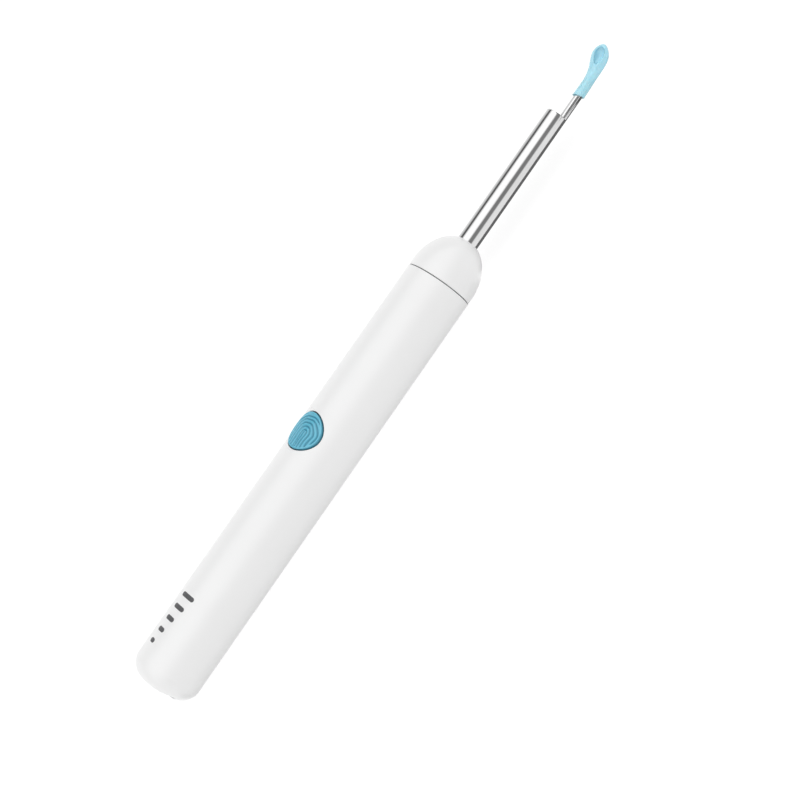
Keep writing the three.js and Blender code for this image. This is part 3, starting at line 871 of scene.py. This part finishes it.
# ---------- button ----------
WHORL = {"s": 50.0, "y": -0.45, "first": 0.5, "pitch": 0.72, "deep": 0.19, "wide": 0.28}
CORE = {"share": 0.6, "half": 0.2, "front": 0.1}  # the straight line inside the first arch
SQUEEZE = 1.12  # how much flatter than half circles the arches are
PINCH = 0.035  # how fast the arches' legs draw together towards the charging end
FACE_R = 3.55  # the raised face; a narrow ledge round it lies deep in the hole
FACE_EDGE = 0.12
MARGIN = 0.22  # plain ring round the fingerprint
MARGIN_FADE = 0.15  # the lines die away over this width
LEDGE_DEEP = 0.45  # below the crown
RIM_SHADE, EDGE_SHADE, GAP_SHADE = 0.6, 1.0, 1.4  # how dark the button's painted shade is at its rim, on the face's rounded edge and in the gap below
HOLLOW_TOP = 4.75  # how high the hollow reaches under the face
# Radius and height of the underside: the skirt's rounded edge, its foot, and the hollow.
UNDERSIDE = [(BUTTON_R, 3.82), (3.63, 3.75), (3.0, 3.75), (3.0, 4.7), (2.9, HOLLOW_TOP)]
TAB = {"in": 3.3, "out": 4.5, "half": 1.5, "bottom": 4.3, "top": 4.85}  # these keep the cap in


def whorl(s, y):
    """Depth, 0 to 1, of the fingerprint's grooves: arches over a core, open to the charging end."""
    ahead = SQUEEZE * (s - WHORL["s"])
    aside = (y - WHORL["y"]) * (1 + PINCH * max(0.0, -ahead))
    # Two slow waves keep the lines from being quite even.
    wave = 0.05 * math.sin(2.1 * ahead + 0.8 * aside) + 0.04 * math.sin(3.3 * aside)
    far = math.hypot(aside, max(0.0, ahead)) + wave
    if far < WHORL["first"] * CORE["share"]:
        depth = max(0.0, 1 - abs(aside) / CORE["half"]) if ahead < CORE["front"] else 0.0
    else:
        off = (far - WHORL["first"]) / WHORL["pitch"]
        off = abs(off - round(off)) * WHORL["pitch"]
        depth = max(0.0, 1 - off / WHORL["wide"])
    return depth * depth * (3 - 2 * depth)


def face_height(y, r):
    """Height of the button's face, less the rounding at its rim."""
    over = max(0.0, r - (FACE_R - FACE_EDGE))
    rim = FACE_EDGE - math.sqrt(max(0.0, FACE_EDGE**2 - over**2))
    return math.sqrt(BUTTON_CROWN**2 - y**2) - rim


def fingerprint_button(material):
    """The push button, with its relief, its hollow underside and two retaining tabs."""
    sides = 224
    rows = 80
    net = Net()
    painted_shades = []
    loops = []
    turns = [FULL * j / sides for j in range(sides)]
    for i in range(1, rows + 1):
        # Rings lie closer together towards the rim, where the face is rounded.
        r = FACE_R * math.sin(math.pi / 2 * i / rows) ** 0.9
        points = []
        for turn in turns:
            s = BUTTON_S + r * math.cos(turn)
            y = r * math.sin(turn)
            fade = min(1.0, max(0.0, (FACE_R - MARGIN - r) / MARGIN_FADE))
            groove_depth_and_shade = whorl(s, y) * fade
            points.append((s, y, face_height(y, r) - WHORL["deep"] * groove_depth_and_shade))
            # Painted shade: as deep as the groove, with a fixed shade along the rim.
            painted_shades.append(max(groove_depth_and_shade, RIM_SHADE if r > FACE_R - FACE_EDGE / 2 else 0.0))
        loops.append(net.loop(points))
    net.fan(loops[0], (BUTTON_S, 0, BUTTON_CROWN))
    painted_shades.append(0.0)
    # The face's rounded edge and the ledge in the gap below carry painted shade too.
    for r, drop, shade in (
        (FACE_R, 2 * FACE_EDGE, EDGE_SHADE),
        (FACE_R + 0.03, LEDGE_DEEP, GAP_SHADE),
        (BUTTON_R - 0.05, LEDGE_DEEP, GAP_SHADE),
        (BUTTON_R, LEDGE_DEEP + 0.05, GAP_SHADE),
    ):
        points = []
        for turn in turns:
            y = r * math.sin(turn)
            z = math.sqrt((BUTTON_CROWN - drop) ** 2 - y**2)
            points.append((BUTTON_S + r * math.cos(turn), y, z))
            painted_shades.append(shade)
        loops.append(net.loop(points))
    net.strip(loops)

    def plan_loop(r, z):
        return net.loop([(BUTTON_S + r * math.cos(t), r * math.sin(t), z) for t in turns])

    below = [plan_loop(r, z) for r, z in UNDERSIDE]
    net.strip([loops[-1], *below])
    net.fan(below[-1], (BUTTON_S, 0, HOLLOW_TOP))
    mesh = net.mesh("fingerprint_button", 50)
    # The painted shade rides on the mesh's points.
    mark_points(mesh, "groove_depth_and_shade", painted_shades)
    tabs = []
    for side in (-1, 1):
        ends = sorted(BUTTON_S + side * TAB[end] for end in ("in", "out"))
        tab = Net()
        tab.box(*ends, -TAB["half"], TAB["half"], TAB["bottom"], TAB["top"])
        tabs.append(tab.mesh("tab"))
    mesh = cut_or_join(mesh, tabs, "UNION")
    return piece(
        "fingerprint_button", mesh, "button", material, "button_blue", "button_cap"
    )


# ---------- charging port ----------
INSERT = {"back": 5.2, "front": 7.7, "gap": 0.33, "edge": 0.08}  # gap from the shell's outside
TONGUE = {"half": 3.34, "rise": 0.35, "tip": 1.1, "root": 5.6, "edge": 0.14}
CONTACTS = {"count": 12, "pitch": 0.5, "half": 0.125, "root": 5.1, "low": 0.33, "high": 0.375}
LONG_CONTACTS = (0, 3, 8, 11)  # the ones that meet the plug first
LONG_TIP, SHORT_TIP = 1.45, 1.75


def port_shell(material):
    """The drawn metal shell of the port, with a rolled lip."""
    net = Net()
    back, front, wall = PORT["back"], PORT["front"], PORT["wall"]
    section = softened([(front, 0.0), (back, 0.0, 0.1), (back, -wall, 0.1), (front, -wall)], 4)
    loops = [net.loop(stadium(s, PORT["half"] + o, PORT["rise"] + o, 96)) for s, o in section]
    net.strip(loops, closed=True)
    return piece(
        "port_shell", net.mesh("port_shell", 50), "handle", material, "port_steel", "charge_port_shell"
    )


def port_insert(material):
    """The moulded insert and the thin tongue that the plug slides over."""
    net = Net()
    back, front, edge = INSERT["back"], INSERT["front"], INSERT["edge"]
    half, rise = PORT["half"] - INSERT["gap"], PORT["rise"] - INSERT["gap"]
    outline = ((back, -edge), (back + edge, 0), (front, 0))
    root = [net.loop(stadium(s, half + o, rise + o, 96)) for s, o in outline]
    net.strip(root)
    net.fan(root[0], (back, 0, 0))
    net.fan(root[-1], (front, 0, 0))
    tongue = Net()
    tip, root_s = TONGUE["tip"], TONGUE["root"]
    # The last two corners only give the rounding at the tip its direction.
    corners = [(root_s, 0.0), (tip, 0.0, TONGUE["edge"]), (tip, -0.3), (root_s, -0.3)]
    section = softened(corners, 4)[:-2]
    loops = [
        tongue.loop(stadium(s, TONGUE["half"] + o, TONGUE["rise"] + min(o, 0), 64)) for s, o in section
    ]
    tongue.strip(loops)
    tongue.fan(loops[0], (root_s, 0, 0))
    tongue.fan(loops[-1], (tip, 0, 0))
    mesh = cut_or_join(net.mesh("port_insert", 50), [tongue.mesh("tongue", 50)], "UNION")
    return piece(
        "port_insert", mesh, "handle", material, "black_plastic", "charge_port_tongue"
    )


def port_contacts(material):
    """Twelve gold-plated contacts on each face of the tongue."""
    net = Net()
    half = CONTACTS["half"]
    for side in (-1, 1):
        low, high = sorted((side * CONTACTS["low"], side * CONTACTS["high"]))
        for i in range(CONTACTS["count"]):
            y = (i - (CONTACTS["count"] - 1) / 2) * CONTACTS["pitch"]
            tip = LONG_TIP if i in LONG_CONTACTS else SHORT_TIP
            net.box(tip, CONTACTS["root"], y - half, y + half, low, high)
    return piece("port_contacts", net.mesh("port_contacts"), "handle", material, "brass")


# ---------- generic mark ----------
BARS = {"count": 5, "first": 6.6, "step": 2.35, "half": 0.42, "least": 0.06}
BAR_TALL = {"first": 1.3, "step": 0.55, "top": 1.75}  # measured round the grip
INK = (-0.01, 0.012)  # its underside and its face, from the grip's surface


def level_mark(material):
    """A plain row of five round-ended bars of rising height, printed near the charging end."""
    net = Net()
    rows = 14
    columns = 6
    half = BARS["half"]
    for i in range(BARS["count"]):
        middle = BARS["first"] + BARS["step"] * i
        tall = BAR_TALL["first"] + BAR_TALL["step"] * i
        loops = []
        for level in (GRIP_R + ink for ink in INK):
            grid = []
            for r in range(rows + 1):
                along = tall * (1 - math.cos(math.pi * r / rows)) / 2
                short = max(0.0, half - min(along, tall - along))
                wide = max(BARS["least"], math.sqrt(half**2 - short**2))
                w = (BAR_TALL["top"] - along) / GRIP_R
                for c in range(columns + 1):
                    s = middle + wide * (2 * c / columns - 1)
                    grid.append((s, level * math.sin(w), level * math.cos(w)))
            loops.append(net.loop(grid))
        step = columns + 1
        for grid in loops:
            for r in range(rows):
                for c in range(columns):
                    k = r * step + c
                    net.faces.append((grid[k], grid[k + 1], grid[k + 1 + step], grid[k + step]))
        border = list(range(step))
        border += [r * step + columns for r in range(1, rows + 1)]
        border += [rows * step + c for c in range(columns - 1, -1, -1)]
        border += [r * step for r in range(rows - 1, 0, -1)]
        net.band(*([grid[k] for k in border] for grid in loops))
    return piece("level_mark", net.mesh("level_mark"), "handle", material, "seam_grey")


# ---------- CAD pieces that stay ----------
def bevel(obj, width):
    """Rounds the hard edges of a CAD piece that is shown as it is."""
    step = obj.modifiers.new("edges", "BEVEL")
    step.width = width * MM
    step.segments = 2
    step.limit_method = "ANGLE"
    step.angle_limit = math.radians(40)
    obj.data.shade_smooth()
    obj.data.set_sharp_from_angle(angle=math.radians(35))


# Rounding of the hard edges, by material slot; none on glass and wires.
EDGES = {
    "chassis_grey": 0.06,
    "brass": 0.05,
    "screw_steel": 0.04,
    "can_steel": 0.06,
    "cell_foil": 0.15,
    "foam_black": 0.05,
    "flex_amber": 0.02,
    "led_yellow": 0.02,
    "black_plastic": 0.03,
    "chip_black": 0.03,
    "board_green": 0.03,
    "ceramic": 0.03,
}


def finish_inner_parts(finishes):
    """Gives every CAD piece that is still shown its finish, and small rounded edges where its slot calls
    for them.
    """
    for part in frame["record"]["subparts"]:
        if part["node"] in REPLACED:
            continue
        obj = frame["nodes"][part["node"]]
        slot = part["material_slot"]
        obj.data.materials.clear()
        obj.data.materials.append(finishes[slot])
        if slot in EDGES:
            bevel(obj, EDGES[slot])
        else:
            obj.data.shade_smooth()


# ---------- studio ----------
def even_glow(name, colour, roughness, strength):
    """A stage material without gloss that gives off an even white light."""
    made = Finish(name, colour, roughness)
    made.set("Specular IOR Level", 0.0)
    made.set("Emission Color", (1, 1, 1, 1))
    made.set("Emission Strength", strength)
    return made.material


def studio_floor():
    """A wide, plain, pale floor."""
    size = 3.0
    mesh = bpy.data.meshes.new("floor")
    corners = [(-size, -size, 0), (size, -size, 0), (size, size, 0), (-size, size, 0)]
    mesh.from_pydata(corners, [], [(0, 1, 2, 3)])
    floor = show("floor", mesh)
    floor.data.materials.append(even_glow("floor_white", (0.26, 0.26, 0.26), 0.9, 0.82))


def place_card(name, back, front, near, far, high, shade):
    """A card beside or above the pen, at a height above the floor, that only reflections see."""
    net = Net()
    level = high - AXIS_Z / MM
    places = [(back, near), (front, near), (front, far), (back, far)]
    net.faces.append(tuple(net.loop([(s, y, level) for s, y in places])))
    card = show(name, net.mesh(name))
    card.data.materials.append(even_glow(name, (0.0, 0.0, 0.0), 1.0, shade))
    card.visible_camera = False
    card.visible_diffuse = False
    card.visible_shadow = False
    card.visible_transmission = False


def studio_light():
    """An even white room with a softbox above and two darker gaps that the steel reflects."""
    world = bpy.data.worlds.new("studio")
    bpy.context.scene.world = world
    world.use_nodes = True
    nodes = world.node_tree.nodes
    links = world.node_tree.links
    background = nodes["Background"]
    place = nodes.new("ShaderNodeTexCoord").outputs["Generated"]
    split = nodes.new("ShaderNodeSeparateXYZ")
    links.new(place, split.inputs[0])
    turn = nodes.new("ShaderNodeMath")
    turn.operation = "ARCTAN2"
    away = nodes.new("ShaderNodeMath")
    away.operation = "MULTIPLY"
    away.inputs[1].default_value = -1
    links.new(split.outputs["Y"], away.inputs[0])
    links.new(away.outputs[0], turn.inputs[0])
    links.new(split.outputs["Z"], turn.inputs[1])
    share = nodes.new("ShaderNodeMapRange")
    share.inputs["From Min"].default_value = -math.pi
    share.inputs["From Max"].default_value = math.pi
    links.new(turn.outputs[0], share.inputs["Value"])
    ramp = nodes.new("ShaderNodeValToRGB")
    links.new(share.outputs["Result"], ramp.inputs["Fac"])
    # Degrees from straight up towards -y, and the brightness there.
    stops = [
        (-180, 1.0), (-75, 0.95), (-58, 0.5), (-50, 0.14), (-35, 0.08), (-26, 0.9), (-12, 1.55),
        (26, 1.55), (38, 1.4), (46, 0.55), (52, 0.27), (79, 0.27), (90, 0.95), (180, 1.0),
    ]
    marks = ramp.color_ramp.elements
    while len(marks) < len(stops):
        marks.new(0.5)
    brightest = 1.6
    for mark, (degrees, light) in zip(marks, stops):
        mark.position = (degrees + 180) / 360
        mark.color = (light / brightest,) * 3 + (1,)
    # Seen directly, the room is plain white.
    paths = nodes.new("ShaderNodeLightPath")
    mix = nodes.new("ShaderNodeMix")
    mix.data_type = "RGBA"
    mix.inputs["B"].default_value = (1 / brightest,) * 3 + (1,)
    links.new(paths.outputs["Is Camera Ray"], mix.inputs["Factor"])
    links.new(ramp.outputs["Color"], mix.inputs["A"])
    links.new(mix.outputs["Result"], background.inputs["Color"])
    background.inputs["Strength"].default_value = brightest


CAMERA_S = 68  # the camera is set out from this place on the pen's axis


def aim_camera():
    """Sees the pen from the photograph's angle: above its -y side, running up to the right."""
    round_pen = math.radians(48.51)
    along_pen = math.radians(4.33)
    roll = math.radians(34.80)
    distance = 0.300
    aim_back = 3.97 * MM
    aim_aside = 5.94 * MM
    pen = Vector((1, 0, 0))
    side = Vector((0, -math.sin(round_pen), math.cos(round_pen)))
    toward = math.cos(along_pen) * side - math.sin(along_pen) * pen
    middle = at(CAMERA_S, 0, 0)
    aside = (pen - toward * pen.dot(toward)).normalized().cross(toward)
    eye = middle + distance * toward
    aim = middle - aim_back * pen + aim_aside * aside
    back = (eye - aim).normalized()
    up = (pen - back * pen.dot(back)).normalized()
    right = up.cross(back)
    frame_right = math.cos(roll) * right + math.sin(roll) * up
    frame_up = math.cos(roll) * up - math.sin(roll) * right
    data = bpy.data.cameras.new("camera")
    data.lens = 78.01
    data.sensor_width = 36
    data.clip_start = 0.01
    camera = show("camera", data)
    camera.matrix_world = Matrix.Translation(eye) @ Matrix(
        (frame_right, frame_up, back)
    ).transposed().to_4x4()
    bpy.context.scene.camera = camera


# ---------- assembly ----------
finishes = {
    "shell_white": shell_white(),
    "seam_grey": seam_grey(),
    "tube_steel": drawn_steel("tube_steel", (0.7, 0.7, 0.702), 0.12),
    "screw_steel": stamped_metal("screw_steel", (0.5, 0.51, 0.52), 0.35),
    "port_steel": stamped_metal("port_steel", (0.55, 0.56, 0.57), 0.3),
    "can_steel": stamped_metal("can_steel", (0.6, 0.61, 0.62), 0.35),
    "brass": stamped_metal("brass", (0.62, 0.43, 0.17), 0.3),
    "black_plastic": moulded("black_plastic", (0.02, 0.021, 0.023), 0.45),
    "chassis_grey": moulded("chassis_grey", (0.55, 0.57, 0.59), 0.5),
    "button_blue": button_blue(),
    "silicone_blue": silicone_blue(),
    "lens_glass": glass("lens_glass", (0.9, 0.95, 0.97)),
    "filter_glass": glass("filter_glass", (0.45, 0.68, 0.7), 0.06),
    "board_green": board_green(),
    "flex_amber": flex_amber(),
    "chip_black": moulded("chip_black", (0.018, 0.018, 0.02), 0.55, 0.08),
    "led_yellow": led_yellow(),
    "ceramic": moulded("ceramic", (0.7, 0.66, 0.58), 0.6, 0.1),
    "cell_foil": cell_foil(),
    "foam_black": foam_black(),
    "wire_red": moulded("wire_red", (0.5, 0.03, 0.02), 0.4, 0.2),
    "wire_black": moulded("wire_black", (0.015, 0.015, 0.016), 0.4, 0.2),
}

grip_sleeve(finishes["shell_white"])
domed_nose(finishes["shell_white"])
seam_seal(finishes["seam_grey"])
steel_tube(finishes["tube_steel"])
steel_rod(finishes["tube_steel"])
silicone_spoon(finishes["silicone_blue"])
fingerprint_button(finishes["button_blue"])
port_shell(finishes["port_steel"])
port_insert(finishes["black_plastic"])
port_contacts(finishes["brass"])
level_mark(ink_grey())
finish_inner_parts(finishes)

studio_floor()
# From and to along the pen, near and far side, height above the floor, brightness.
place_card("grip_card", -5, 90, -4, -9.5, 0.2, 0.2)
place_card("tube_card", 92, 150, 8, -5.6, 0.2, 0.17)
place_card("rod_card", 126, 150, -5.6, -30, 0.2, 0.1)
place_card("rod_flag", 126.1, 131.5, -8, -19, 23, 0.12)
place_card("rod_glow", 126.1, 131.5, 5, 24, 20, 0.95)
studio_light()
aim_camera()
bpy.context.scene.view_settings.view_transform = "Standard"
